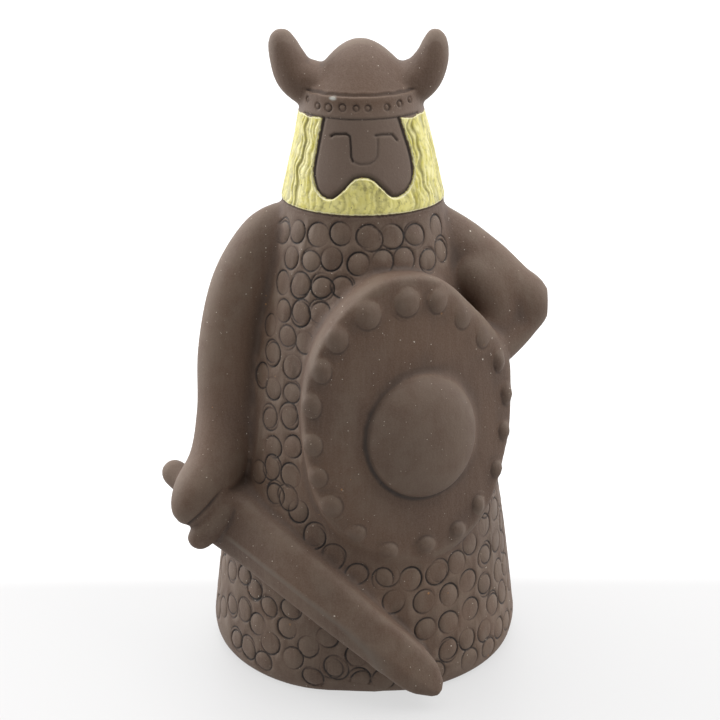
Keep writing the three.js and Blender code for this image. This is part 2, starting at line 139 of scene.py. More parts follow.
def make_table():
    """A large pale table top, which glows white from just behind the figure."""
    shape = bmesh.new()
    bmesh.ops.create_grid(shape, x_segments=1, y_segments=1, size=TABLE_HALF * MM)
    bmesh.ops.translate(shape, verts=shape.verts, vec=(0, 0, -TABLE_DROP * MM))
    table = add_object("table", shape)
    material, tree, output = new_material("white_card")
    place = add_node(tree, "ShaderNodeTexCoord")
    axes = add_node(tree, "ShaderNodeSeparateXYZ", inputs={"Vector": place.outputs["Object"]})
    glow = add_node(tree, "ShaderNodeMapRange", {"interpolation_type": "SMOOTHSTEP"}, {
        "Value": axes.outputs["Y"], "From Min": GLOW_START * MM, "From Max": GLOW_END * MM,
        "To Min": FLOOR_GLOW, "To Max": 1.0})
    card = add_node(tree, "ShaderNodeBsdfPrincipled", inputs={
        "Base Color": linear("#5a5959"), "Roughness": 0.6,
        "Emission Color": linear("#ffffff"), "Emission Strength": glow.outputs["Result"]})
    tree.links.new(card.outputs["BSDF"], output.inputs["Surface"])
    table.data.materials.append(material)


def make_light(name, place, size, power):
    """A square soft light of a size in millimetres, aimed at the figure's middle."""
    data = bpy.data.lights.new(name, "AREA")
    data.shape = "SQUARE"
    data.size = size * MM
    data.energy = power
    light = bpy.data.objects.new(name, data)
    light.location = Vector(place) * MM
    light.rotation_euler = (Vector(LIGHT_TARGET) - Vector(place)).to_track_quat("-Z", "Y").to_euler()
    bpy.context.scene.collection.objects.link(light)


def make_sky():
    """White light from all round, dimmer from the front, where the room is."""
    world = bpy.data.worlds.new("room")
    world.use_nodes = True
    tree = world.node_tree
    way = add_node(tree, "ShaderNodeTexCoord").outputs["Generated"]
    axes = add_node(tree, "ShaderNodeSeparateXYZ", inputs={"Vector": way})
    strength = add_node(tree, "ShaderNodeMapRange", inputs={
        "Value": axes.outputs["Y"], "From Min": SKY_TURNS_FROM, "From Max": SKY_TURNS_TO,
        "To Min": SKY_FRONT, "To Max": SKY_BACK})
    sky = tree.nodes["Background"]
    sky.inputs["Color"].default_value = linear("#ffffff")
    tree.links.new(strength.outputs["Result"], sky.inputs["Strength"])
    bpy.context.scene.world = world


make_camera()
make_table()
for light in LIGHTS:
    make_light(*light)
make_sky()
bpy.context.scene.view_settings.view_transform = "Standard"


# Coat: the figure is one piece of dark clay, and its coat is a round cone with a flat underside.
# Its lower edge is rounded, as if wiped with a sponge.

COAT_RADIUS = 51.3
COAT_TAPER = 0.107
COAT_CURVE = 0.00048
COAT_TOP = 150.4
FOOT_IN = 2.3
FOOT_UP = 7
SIDE_FROM = 10
FRONT_FLAT = 2
FRONT_FLAT_AT = -4
FRONT_FLAT_REACH = 15
FRONT_FLAT_UP = 30


def coat_radius(height):
    return COAT_RADIUS - COAT_TAPER * height - COAT_CURVE * height ** 2


def off_coat(points):
    """How far each place stands off the coat."""
    return np.hypot(points[:, 0], points[:, 1]) - coat_radius(points[:, 2])


def turned(profile, steps=128):
    """A closed shell: a profile of (radius, height) points, turned about the upright axis."""
    shell = bmesh.new()
    verts = [shell.verts.new((radius, 0, height)) for radius, height in profile]
    edges = [shell.edges.new(pair) for pair in zip(verts, verts[1:])]
    bmesh.ops.spin(shell, geom=verts + edges, axis=(0, 0, 1), cent=(0, 0, 0),
                   angle=math.tau, steps=steps, use_merge=True)
    bmesh.ops.remove_doubles(shell, verts=shell.verts, dist=0.001)
    bmesh.ops.recalc_face_normals(shell, faces=shell.faces)
    return shell


def add_shell(clay, shell):
    """Adds a closed shell to the lump of clay."""
    mesh = bpy.data.meshes.new("shell")
    shell.to_mesh(mesh)
    shell.free()
    clay.from_mesh(mesh)
    bpy.data.meshes.remove(mesh)


def make_coat():
    profile = [(0, 0)]
    for step in range(7):
        turn = math.radians(90 * step / 6)
        radius = coat_radius(FOOT_UP) - FOOT_IN * (1 - math.sin(turn))
        profile.append((radius, FOOT_UP * (1 - math.cos(turn))))
    profile += [(coat_radius(height), height) for height in np.linspace(SIDE_FROM, COAT_TOP, 24)]
    profile.append((0, COAT_TOP))
    return turned(profile)


def press_front(shell):
    """Presses the lower edge of the coat a little flat in front."""
    for vert in shell.verts:
        degrees = math.degrees(math.atan2(vert.co.x, -vert.co.y))
        near = math.exp(-((degrees - FRONT_FLAT_AT) / FRONT_FLAT_REACH) ** 2)
        radius = max(1, math.hypot(vert.co.x, vert.co.y))
        press = FRONT_FLAT * near * max(0, 1 - vert.co.z / FRONT_FLAT_UP)
        vert.co.x *= 1 - press / radius
        vert.co.y *= 1 - press / radius
    return shell


clay = bmesh.new()
add_shell(clay, press_front(make_coat()))


# Arms: two rolls of clay with no fingers, pressed on to the coat and wiped in.
# One hangs down to the sword, and the other bends and goes in behind the shield.
# A station is (x, y, height, half width, half depth), with the depth measured outwards.

LIMB_STEP = 0.01
LIMB_BLUNT = 8
HANGING_ARM = [
    (-18, 0, 144.5, 6, 6.5), (-24.2, -1, 139.7, 7.5, 8.4), (-29.8, -2, 134.8, 9.2, 9.4),
    (-37.4, -4.5, 121.3, 9.9, 10.2), (-42, -7.5, 101, 10.1, 10.2), (-43, -12.5, 81, 9.9, 10),
    (-46.2, -20, 67.4, 9.5, 9.3), (-52, -26, 59.3, 9.2, 8.8), (-58, -29.4, 50.7, 7.2, 7.3),
]
BENT_ARM = [
    (15, 0, 144.5, 6, 6.5), (21, -0.5, 139.3, 7.5, 8.5), (27.2, -1, 133.7, 8.6, 9.8),
    (37.2, -2.5, 125.9, 8.9, 9.8), (45.4, -4.2, 119.3, 8.2, 9), (50.2, -5.4, 115.6, 6.6, 8.6),
    (47.6, -6.6, 111.2, 5.8, 8.2), (43.2, -9, 107, 6.6, 8.4), (37.6, -12, 103, 7.6, 8.6),
    (31, -14, 100, 6, 5),
]
# A web of clay fills most of the bent arm's crook.
ARM_WEB = [(29, -8, 131, 6.5, 6.5), (41, -7, 115, 8, 8.5), (34, -12, 98, 6, 5)]


def smooth_line(stations, share):
    """A point on the smooth curve through all stations, at a share of its way."""
    rows = np.array(stations, float)
    place = min(share, 0.999999) * (len(rows) - 1)
    i = int(place)
    t = place - i
    before = rows[i - 1] if i > 0 else 2 * rows[0] - rows[1]
    after = rows[i + 2] if i + 2 < len(rows) else 2 * rows[-1] - rows[-2]
    start, end = rows[i], rows[i + 1]
    step = max(np.linalg.norm(end - start), 1e-6) ** 0.5
    step_in = max(np.linalg.norm(start - before), 1e-6) ** 0.5
    step_out = max(np.linalg.norm(after - end), 1e-6) ** 0.5
    slope_in = (start - before) / step_in - (end - before) / (step_in + step) + (end - start) / step
    slope_out = (end - start) / step - (after - start) / (step + step_out) + (after - end) / step_out
    slope_in, slope_out = slope_in * step, slope_out * step
    return (start + slope_in * t + (3 * (end - start) - 2 * slope_in - slope_out) * t ** 2
            + (2 * (start - end) + slope_in + slope_out) * t ** 3)


def limb(stations):
    """A round roll of clay along a smooth line, closed by a round end at both sides."""
    roll = bmesh.new()
    bmesh.ops.create_uvsphere(roll, u_segments=32, v_segments=64, radius=1)
    line = [station[:3] for station in stations]
    sizes = [station[3:] for station in stations]
    for vert in roll.verts:
        share = math.acos(max(-1, min(1, vert.co.z))) / math.pi
        place = Vector(smooth_line(line, share))
        half_width, half_depth = smooth_line(sizes, share)
        ahead = smooth_line(line, min(share + LIMB_STEP, 1))
        behind = smooth_line(line, max(share - LIMB_STEP, 0))
        along = Vector(ahead - behind).normalized()
        outward = Vector((place.x, place.y, 0)).normalized()
        outward = (outward - along * outward.dot(along)).normalized()
        across = outward.cross(along)
        ends = math.sqrt(max(0, 1 - (2 * share - 1) ** LIMB_BLUNT))
        turn = math.atan2(vert.co.y, vert.co.x)
        vert.co = (place + across * (math.cos(turn) * half_width * ends)
                   + outward * (math.sin(turn) * half_depth * ends))
    bmesh.ops.remove_doubles(roll, verts=roll.verts, dist=0.001)
    bmesh.ops.recalc_face_normals(roll, faces=roll.faces)
    return roll


for stations in (HANGING_ARM, BENT_ARM, ARM_WEB):
    add_shell(clay, limb(stations))


# Head: a cone of hair and beard that overhangs the coat, and a helmet with two thick horns.
# The head leans a little to one side from the face upwards.

HAIR_BOTTOM = 148.9
HAIR_TOP = 176
HAIR_RADIUS_BOTTOM = 25.5
HAIR_RADIUS_TOP = 19.2
BAND_BOTTOM = 176.6
BAND_TOP = 183.1
BAND_RADIUS_BOTTOM = 18.9
BAND_RADIUS_TOP = 17.8
BAND_SUNK = 2
BAND_EDGE = 0.4
BAND_LIP = 0.3
BAND_STEP = 1.3
DOME_TOP = 197.1
DOME_CURVE = 0.0585
DOME_FLARE = 0.0000277
DOME_SHIFT = 0.9
DOME_SHIFT_UP = 5
HEAD_LEAN = 0.05
HEAD_LEAN_FROM = 168
HORN = [
    (8, 0, 183.4, 7.2, 7), (14, 0, 183.3, 7.9, 7), (18.9, 0, 186, 7.3, 6.2),
    (22.1, 0, 191, 6.1, 5.1), (23.3, 0, 196.1, 4.7, 3.9), (23.2, 0, 200, 2.8, 2.4),
]
LEFT_HORN_THICKER = 0.4
LEFT_HORN_UPRIGHT = 0.8


def hair_radius(height):
    share = (height - HAIR_BOTTOM) / (HAIR_TOP - HAIR_BOTTOM)
    return HAIR_RADIUS_BOTTOM + (HAIR_RADIUS_TOP - HAIR_RADIUS_BOTTOM) * share


def make_hair():
    profile = [(0, HAIR_BOTTOM)]
    profile += [(hair_radius(height), height) for height in np.linspace(HAIR_BOTTOM, HAIR_TOP, 12)]
    profile += [(BAND_RADIUS_TOP, BAND_BOTTOM), (0, BAND_BOTTOM)]
    return turned(profile)


def make_helmet():
    profile = [
        (0, BAND_BOTTOM - BAND_SUNK), (BAND_RADIUS_TOP, BAND_BOTTOM - BAND_SUNK),
        (BAND_RADIUS_TOP, BAND_BOTTOM), (BAND_RADIUS_BOTTOM, BAND_BOTTOM + BAND_EDGE),
        (BAND_RADIUS_TOP, BAND_TOP - BAND_LIP),
    ]
    for radius in np.linspace(BAND_RADIUS_TOP - BAND_STEP, 0, 16):
        drop = DOME_CURVE * radius ** 2 - DOME_FLARE * radius ** 4
        profile.append((radius, max(BAND_TOP, DOME_TOP - drop)))
    helmet = turned(profile)
    for vert in helmet.verts:
        share = min(1, max(0, (vert.co.z - BAND_TOP) / DOME_SHIFT_UP))
        vert.co.x += DOME_SHIFT * share * share * (3 - 2 * share)
    return helmet


def lean_head(shell):
    for vert in shell.verts:
        vert.co.x -= HEAD_LEAN * max(0, vert.co.z - HEAD_LEAN_FROM)
    return shell


for shell in (make_hair(), make_helmet()):
    add_shell(clay, lean_head(shell))
# From its second station the left horn is thicker, and from its fourth one more upright.
left_horn = [
    (LEFT_HORN_UPRIGHT * (x > 20) - x, y, z, w, d + LEFT_HORN_THICKER * (x > 10))
    for x, y, z, w, d in HORN]
for stations in (left_horn, HORN):
    add_shell(clay, lean_head(limb(stations)))


# Shield: an oval slab with soft edges, bent round the coat and leaning back with it.
# Its left side bends down to the coat, and it hides the hand of the bent arm.

SHIELD_AZIMUTH = math.radians(22.1)
SHIELD_LEAN = math.radians(6)
SHIELD_DISTANCE = 42.3
SHIELD_HEIGHT = 87.7
SHIELD_BEND = 91
SHIELD_RADIUS = 45.1
SHIELD_OVAL = 0.82
SHIELD_SIDEWAYS = 0.3
SHIELD_RISE = 0.5
SHIELD_DEPTH = 15
SHIELD_ROUND = 2.2
RIM_UNEVEN = [(38, 15, -2.1), (73, 11, 1.8), (117, 13, -1), (232, 15, 1.2), (268, 26, -1.3),
              (345, 14, 1.1)]
LEFT_DROP = 3.6
LEFT_DROP_AT = 262
LEFT_DROP_REACH = 58
LEFT_DROP_FROM = 22
BOSS_RADIUS = 19.15
BOSS_OVAL = 0.93
BOSS_ACROSS = 1.7
BOSS_UP = -3.6
BOSS_HEIGHT = 7.2
BOSS_STEP = 1
STUD_OVAL = 0.84
STUD_STEP = 0.1
STUD_HEIGHT = 1.7
STUDS = [
    (357, 38, 3.9, 4.2), (15, 38.5, 3.1, 3.7), (33, 37, 3, 3.7), (51, 37.5, 2.7, 3.6),
    (68, 39.5, 2.2, 3.6), (85, 40.5, 2.2, 3.6), (102, 39.5, 2.2, 3.1), (120, 39.5, 2.2, 2.8),
    (140, 38.5, 2.3, 3), (157, 39, 2.7, 2.7), (177, 38.5, 3, 2.7), (198, 40.5, 3.1, 2.6),
    (217, 40, 3.1, 2.8), (235, 40, 3.6, 3.8), (250, 39.5, 3.1, 3.3), (265, 38.5, 3.1, 3.6),
    (283, 39, 3.1, 3.9), (300, 39, 3, 3.8), (316, 40, 3.4, 4), (335, 39, 3.9, 4.2),
]
SHIELD_LEVEL = Vector((math.sin(SHIELD_AZIMUTH), -math.cos(SHIELD_AZIMUTH), 0))
SHIELD_RIGHT = Vector((math.cos(SHIELD_AZIMUTH), math.sin(SHIELD_AZIMUTH), 0))
SHIELD_OUT = SHIELD_LEVEL * math.cos(SHIELD_LEAN) + Vector((0, 0, math.sin(SHIELD_LEAN)))
SHIELD_UP = Vector((0, 0, math.cos(SHIELD_LEAN))) - SHIELD_LEVEL * math.sin(SHIELD_LEAN)
SHIELD_CENTRE = SHIELD_LEVEL * SHIELD_DISTANCE + Vector((0, 0, SHIELD_HEIGHT))


def left_drop(across, up):
    """How far the shield's left side bends down to the coat."""
    degrees = np.degrees(np.arctan2(across, up))
    away = (degrees - LEFT_DROP_AT + 180) % 360 - 180
    outer = np.maximum(0, np.hypot(across / SHIELD_OVAL, up) - LEFT_DROP_FROM)
    outer = outer / (SHIELD_RADIUS - LEFT_DROP_FROM)
    return LEFT_DROP * np.exp(-(away / LEFT_DROP_REACH) ** 2) * outer ** 2


def on_shield(point):
    """A place across, up and out from the shield's bent face, in the figure's own space."""
    turn = point.x / SHIELD_BEND
    reach = SHIELD_BEND + point.z - left_drop(point.x, point.y)
    return (SHIELD_CENTRE + SHIELD_UP * point.y + SHIELD_RIGHT * (reach * math.sin(turn))
            + SHIELD_OUT * (reach * math.cos(turn) - SHIELD_BEND))


def rim_uneven(degrees):
    """How far the hand-shaped rim stands out or in, at an angle from its top."""
    out = 0
    for middle, reach, bump in RIM_UNEVEN:
        away = (degrees - middle + 180) % 360 - 180
        out += bump * math.exp(-(away / reach) ** 2)
    return out


def make_shield():
    profile = [(0, -SHIELD_DEPTH)]
    profile += [(radius, -SHIELD_DEPTH) for radius in np.linspace(8, SHIELD_RADIUS, 6)]
    for step in range(7):
        turn = math.radians(90 * step / 6)
        profile.append((SHIELD_RADIUS - SHIELD_ROUND * (1 - math.cos(turn)),
                        SHIELD_ROUND * (math.sin(turn) - 1)))
    profile += [(radius, 0) for radius in np.linspace(38, 0, 12)]
    shell = turned(profile)
    for vert in shell.verts:
        radius = max(1, math.hypot(vert.co.x, vert.co.y))
        degrees = math.degrees(math.atan2(vert.co.x, vert.co.y))
        grow = 1 + rim_uneven(degrees) * min(1, max(0, radius - BOSS_RADIUS) / 8) / radius
        vert.co.x = vert.co.x * grow * SHIELD_OVAL + SHIELD_SIDEWAYS
        vert.co.y = vert.co.y * grow + SHIELD_RISE
        vert.co = on_shield(vert.co)
    return shell


def make_pad(across, up, wide, high, step, height):
    """A low domed pad on the shield's face, with an upright edge of a small step."""
    profile = [(0, -1), (1, -1), (1, step)]
    for part in range(1, 9):
        turn = math.radians(90 * part / 8)
        profile.append((math.cos(turn), step + (height - step) * math.sin(turn)))
    pad = turned(profile, 64)
    for vert in pad.verts:
        place = Vector((across + wide * vert.co.x, up + high * vert.co.y, vert.co.z))
        vert.co = on_shield(place)
    return pad


def stud_place(degrees, ring):
    turn = math.radians(degrees)
    return STUD_OVAL * ring * math.sin(turn), ring * math.cos(turn)


add_shell(clay, make_shield())
add_shell(clay, make_pad(BOSS_ACROSS, BOSS_UP, BOSS_RADIUS * BOSS_OVAL, BOSS_RADIUS,
                         BOSS_STEP, BOSS_HEIGHT))
for degrees, ring, wide, high in STUDS:
    add_shell(clay, make_pad(*stud_place(degrees, ring), wide, high, STUD_STEP, STUD_HEIGHT))


# Sword: its grip is a roll through the fist, with a ball end behind it and a thick guard before it.
# The blade is a flat bar laid slanting round the coat, with a soft rib and a round tip.

POMMEL = [(-63, -12, 63, 3, 3), (-60, -15, 61.1, 4.3, 4.3), (-55, -20, 58.8, 4.2, 4.2)]
GRIP = [(-58, -17, 59, 4, 4), (-52, -22, 55, 4, 4), (-45, -28, 49, 4, 4)]
GUARD = [
    (-53.8, -28.6, 43, 3.1, 3.5), (-50.7, -29.6, 46.8, 4, 4.6),
    (-45.9, -29.2, 53.4, 4.3, 4.6), (-40.5, -26.6, 60.8, 3.6, 3.8),
]
BLADE_RISE = -3.4
BLADE_ACROSS_X = 0.885
BLADE_ACROSS_Y = 0.533
BLADE_START = -62
BLADE_END = 22.5
BLADE_WIDTH = 21.6
BLADE_TIP_WIDTH = 11.6
BLADE_PROUD = 4.8
BLADE_LIFT = 5
BLADE_LIFT_SHARE = 0.3
BLADE_TIP_LIFT = 4.7
BLADE_RIB = 1.6
BLADE_RIDGE = -0.24
BLADE_DEPTH = 6
BLADE_TIP_FROM = 0.92
BLADE_TIP_LENGTH = 0.08
BLADE_TIP_BLUNT = 0.2
BLADE_EDGE_FROM = 0.8
BLADE_EDGE_SLOPE = 4.5
BLADE_LOWEST = 0.4


def blade_middle(angle, proud):
    """The height of the blade's middle line at an angle round the coat."""
    height = 20
    for _ in range(6):
        reach = coat_radius(height) + proud
        height = BLADE_RISE + reach * (BLADE_ACROSS_Y * np.cos(angle)
                                       - BLADE_ACROSS_X * np.sin(angle))
    return height


def blade_slope(angle):
    return np.arctan(BLADE_ACROSS_Y * np.sin(angle) + BLADE_ACROSS_X * np.cos(angle))


def blade_half(along):
    return (BLADE_WIDTH + (BLADE_TIP_WIDTH - BLADE_WIDTH) * along) / 2


def blade_lift(along):
    """How far the blade lies off the coat: more at the guard and at the tip."""
    return (BLADE_PROUD + BLADE_LIFT * np.maximum(0, 1 - along / BLADE_LIFT_SHARE) ** 2
            + BLADE_TIP_LIFT * along ** 3)


def make_blade():
    bar = bmesh.new()
    bmesh.ops.create_cube(bar, size=1)
    for cuts, axis in ((63, 0), (15, 1), (2, 2)):
        edges = [e for e in bar.edges
                 if abs((e.verts[0].co - e.verts[1].co)[axis]) > 0.99]
        bmesh.ops.subdivide_edges(bar, edges=edges, cuts=cuts, use_grid_fill=True)
    for vert in bar.verts:
        along = vert.co.x + 0.5
        edge = abs(vert.co.y * 2)
        side = vert.co.y * 2 + BLADE_RIDGE * (1 - edge)
        past_tip = max(0, (along - BLADE_TIP_FROM) / BLADE_TIP_LENGTH)
        tip = math.sqrt(max(BLADE_TIP_BLUNT, 1 - past_tip ** 2))
        half = blade_half(along) * tip
        angle = math.radians(BLADE_START + (BLADE_END - BLADE_START) * along)
        lift = blade_lift(along)
        slope = blade_slope(angle)
        middle = blade_middle(angle, lift)
        height = max(middle + side * half * math.cos(slope), BLADE_LOWEST)
        turn = angle + side * half * math.sin(slope) / coat_radius(middle)
        proud = lift + BLADE_RIB * (1 - edge) - max(0, edge - BLADE_EDGE_FROM) * BLADE_EDGE_SLOPE
        front = vert.co.z + 0.5
        radius = coat_radius(height) + proud * front - BLADE_DEPTH * (1 - front)
        vert.co = (radius * math.sin(turn), -radius * math.cos(turn), height)
    bmesh.ops.recalc_face_normals(bar, faces=bar.faces)
    return bar


for stations in (POMMEL, GRIP, GUARD):
    add_shell(clay, limb(stations))
add_shell(clay, make_blade())


# Skin: the parts are pressed and wiped together while the clay is soft, so the whole figure
# is one piece with one skin, whose inner corners are round.

SKIN_GRAIN = 0.72
WIPE_ROUNDS = 24
EVEN_ROUNDS = 12
EVEN_BACK = 0.53


def with_modifier(made, kind, **settings):
    """The object's mesh is replaced by what a modifier makes of it."""
    modifier = made.modifiers.new(kind.lower(), kind)
    for name, value in settings.items():
        setattr(modifier, name, value)
    shown = made.evaluated_get(bpy.context.evaluated_depsgraph_get())
    mesh = bpy.data.meshes.new_from_object(shown)
    made.modifiers.clear()
    made.data = mesh
    return made


def vertex_array(mesh, what="co"):
    """The places of a mesh's points, or their normals, as rows of x, y and z."""
    values = np.empty(len(mesh.vertices) * 3, np.float32)
    source = mesh.vertices if what == "co" else mesh.vertex_normals
    source.foreach_get("co" if what == "co" else "vector", values)
    return values.reshape(-1, 3).astype(float)


def edge_array(mesh):
    """The two points that each edge of a mesh joins."""
    ends = np.empty(len(mesh.edges) * 2, np.int32)
    mesh.edges.foreach_get("vertices", ends)
    return ends.reshape(-1, 2)


def move_points(mesh, points):
    mesh.vertices.foreach_set("co", points.astype(np.float32).ravel())
    mesh.update()


def softened(points, ends, weight, rounds, back=0.0):
    """The points drawn towards the middle of their neighbours, each by its weight from 0 to 1.
    With a share back after every round, the grain goes but the form keeps its size."""
    count = np.bincount(ends.ravel(), minlength=len(points))[:, None]
    steps = [0.5, -back] if back else [0.5]
    for step in steps * rounds:
        total = np.empty_like(points)
        for axis in range(3):
            total[:, axis] = (
                np.bincount(ends[:, 0], points[ends[:, 1], axis], len(points))
                + np.bincount(ends[:, 1], points[ends[:, 0], axis], len(points)))
        points = points + step * weight[:, None] * (total / count - points)
    return points


def ramp(values, low, high):
    """From 0 at low to 1 at high, with soft ends."""
    share = np.clip((values - low) / (high - low), 0, 1)
    return share * share * (3 - 2 * share)


def to_shield(points):
    """Across, up and out from the shield's bent face, for places in the figure's own space."""
    offset = points - np.array(SHIELD_CENTRE)
    side = offset @ np.array(SHIELD_RIGHT)
    front = offset @ np.array(SHIELD_OUT) + SHIELD_BEND
    across = np.arctan2(side, front) * SHIELD_BEND
    up = offset @ np.array(SHIELD_UP)
    out = np.hypot(side, front) - SHIELD_BEND + left_drop(across, np.clip(up, -60, 60))
    return across, up, out


def to_blade(points):
    """How far along the blade a place is, how far to its side in millimetres, and the half width."""
    point_angle = np.arctan2(points[:, 0], -points[:, 1])
    angle = point_angle
    for _ in range(4):
        along = np.clip((np.degrees(angle) - BLADE_START) / (BLADE_END - BLADE_START), 0, 1)
        middle = blade_middle(angle, blade_lift(along))
        slope = blade_slope(angle)
        across = (points[:, 2] - middle) / np.cos(slope)
        angle = point_angle - across * np.sin(slope) / coat_radius(middle)
    along = (np.degrees(angle) - BLADE_START) / (BLADE_END - BLADE_START)
    return along, across, blade_half(along)


def softness(points):
    """How far each place was wiped: most where the arms meet the coat and in the bent arm's crook,
    less at the shield's left rim, the blade's upper edge, the horns' roots and round the boss."""
    x, y, z = points.T
    proud = off_coat(points)
    arms = ramp(z, 66, 80) * (1 - ramp(z, 140, 147)) * ramp(np.abs(x), 18, 26)
    valley = arms * ramp(proud, -1, 0.2) * (1 - ramp(proud, 5, 9))
    crook = ramp(x, 22, 28) * (1 - ramp(x, 48, 52)) * ramp(z, 104, 108) * (1 - ramp(z, 134, 140))
    crook *= ramp(-y, 6, 10)
    across, up, out = to_shield(points)
    turn = np.degrees(np.arctan2(across / SHIELD_OVAL, up)) % 360
    away = np.abs(np.hypot(across / SHIELD_OVAL, up) - SHIELD_RADIUS)
    rim = (1 - ramp(away, 3, 8)) * (out > -16) * (out < -0.3) * ramp(turn, 165, 195)
    rim *= 1 - ramp(turn, 335, 355)
    boss = np.abs(np.hypot((across - BOSS_ACROSS) / BOSS_OVAL, up - BOSS_UP) - BOSS_RADIUS)
    boss_edge = (1 - ramp(boss, 1, 3)) * (np.abs(out) < 6)
    along, side, half = to_blade(points)
    blade_edge = (1 - ramp(np.abs(side - half), 2.5, 5)) * ramp(along, 0, 0.1)
    blade_edge *= (1 - ramp(along, 0.8, 0.9)) * (z < 62)
    horn_roots = ramp(z, 184, 186) * (1 - ramp(z, 189, 192)) * (1 - ramp(np.abs(x), 17, 21))
    wiped = valley + crook + 0.7 * rim + 0.2 * boss_edge + 0.5 * blade_edge + 0.3 * horn_roots
    return 0.05 + 0.95 * np.clip(wiped, 0, 1)


figure = with_modifier(add_object("viking_figure_clay", clay), "REMESH",
                       mode="VOXEL", voxel_size=SKIN_GRAIN)
skin = vertex_array(figure.data)
skin_ends = edge_array(figure.data)
skin = softened(skin, skin_ends, softness(skin), int(WIPE_ROUNDS / SKIN_GRAIN ** 2))
skin = softened(skin, skin_ends, np.ones(len(skin)), EVEN_ROUNDS, back=EVEN_BACK)
skin[:, 2] = np.maximum(skin[:, 2], 0)
move_points(figure.data, skin)
with_modifier(figure, "SUBSURF", levels=1, render_levels=1)


# Carving: everything below is pressed or cut into the soft skin with small tools,
# so each tool gives a depth for every place on the skin, and the skin moves in by it.

UNEVEN_DEPTH = 0.1
UNEVEN_SPAN = 9


def groove(distance, half_width):
    """A cut with a pointed bottom: 1 on its line, 0 at half its width and beyond."""
    return np.clip(1 - np.abs(distance) / half_width, 0, 1)


def to_head(points):
    """Angle round the upright head, arc length along the hair's skin, and height."""
    x = points[:, 0] + HEAD_LEAN * np.maximum(0, points[:, 2] - HEAD_LEAN_FROM)
    angle = np.arctan2(x, -points[:, 1])
    return angle, angle * hair_radius(points[:, 2]), points[:, 2]


def ripple(seed, *axes):
    """Slow unevenness between about -1 and 1: a sum of a few waves with random directions."""
    chance = np.random.default_rng(seed)
    total = 0
    for _ in range(5):
        phase = chance.uniform(0, math.tau)
        for axis in axes:
            phase = phase + axis * chance.uniform(-1, 1)
        total = total + np.sin(phase)
    return total / 2.5


# Sword and fist: a cut parts the fist from the guard, and the blade's ridge is drawn up sharp.

FIST_CUT = [(-54.8, 51.6), (-50, 56.6), (-41.5, 65.6)]
FIST_CUT_DEPTH = 0.8
RIDGE_HEIGHT = 0.22
RIDGE_HALF = 1.1


def line_distance(arc, height, corners):
    """Distance from each place to a line of straight steps."""
    nearest = np.full(len(arc), 1e3)
    for (x0, z0), (x1, z1) in zip(corners, corners[1:]):
        dx, dz = x1 - x0, z1 - z0
        share = np.clip(((arc - x0) * dx + (height - z0) * dz) / (dx * dx + dz * dz), 0, 1)
        nearest = np.minimum(nearest, np.hypot(arc - x0 - share * dx, height - z0 - share * dz))
    return nearest


def fist_depth(points):
    away = line_distance(points[:, 0], points[:, 2], FIST_CUT)
    fading = 1 - ramp(points[:, 0], -48, -42)
    return FIST_CUT_DEPTH * groove(away, 0.9) * fading * (points[:, 1] < -24)


def ridge_share(points):
    """1 on the line of the blade's ridge, 0 a little to its sides."""
    along, across, half = to_blade(points)
    on_blade = ramp(along, 0.08, 0.16) * (1 - ramp(along, 0.9, 0.97)) * (points[:, 2] < 60)
    on_blade = on_blade * (off_coat(points) > 3)
    return np.clip(1 - np.abs(across - BLADE_RIDGE * half) / RIDGE_HALF, 0, 1) * on_blade


# Mail: a small tube was pressed all over the coat, row by row but by eye, so that it fills
# nearly all of it. The tube was held a little askew, so most rings are deeper on one side.
# The front rings are placed one by one: (degrees round the coat, height).

RING_RADIUS = 3.65
RING_LINE = 0.4
RING_DEPTH = 0.75
RING_TWICE = 0.45
RING_PITCH = 7.7
RING_TOP = 142.5
RING_LOWEST = 5
RING_NEAREST = 7.0
RING_SEED = 11
PROBE_STEP = 7
PROUD_MOST = 0.3
FRONT_RINGS = [
    (-49, 142), (-31, 142.5), (-15, 143.5), (3, 143), (19, 142.5), (36, 141.5),
    (-51, 134), (-34, 135), (-20, 136), (-3, 135), (12, 135.5), (26, 135.5), (44, 133.5),
    (-55, 126), (-40, 126.5), (-25, 128), (-12, 128.5), (-50, 118), (-37, 118.5), (-24, 119.5),
    (-44, 110.5), (-32, 110.5), (-53, 104), (-38, 102.5), (-49, 94), (-36, 95), (-48, 84.5),
    (-36, 87), (-44, 76.5), (-33, 78.5), (-43, 70.5), (-33, 69.5), (-40, 62), (-33, 62), (-28, 59),
    (-20, 52), (-12, 46), (-3, 41), (7, 39.5), (18, 38.5), (29, 38.5), (39, 40), (47, 44), (57, 38),
    (58, 47), (67, 38.5), (70, 48.5), (11, 32), (23, 30.5), (34, 30.5), (44, 32.5), (54, 28.5),
    (66, 28.5), (23, 21.5), (33, 21.5), (44, 23), (58, 19.5), (68, 19.5), (32, 13), (41, 13.5),
    (51, 13), (61, 10), (69, 9.5), (-64, 29), (-54, 31), (-47, 29.5), (-39, 25), (-30, 20.5),
    (-61, 19), (-52, 20), (-44, 18), (-37, 13.5), (-21, 16), (-27, 11), (-40, 6), (-48, 8),
    (-56, 9), (-19, 6), (-11, 10.5), (-10, 9.5), (-2, 6.5), (-69, 14.5),
]


def coat_place(angle, height):
    radius = coat_radius(height)
    return np.array((radius * math.sin(angle), -radius * math.cos(angle), height))


def level_rows(chance):
    """Ring places in level rows from the shoulders down, all round the coat."""
    places = []
    height = RING_TOP
    row = 0
    while height > RING_LOWEST:
        count = int(math.tau * coat_radius(height) / RING_PITCH)
        for i in range(count):
            turn = (i + row % 2 / 2) / count * math.tau - math.pi
            angle = turn + chance.normal(0, 0.45) / coat_radius(height)
            places.append((angle, height + chance.normal(0, 0.4)))
        height -= RING_PITCH
        row += 1
    return places


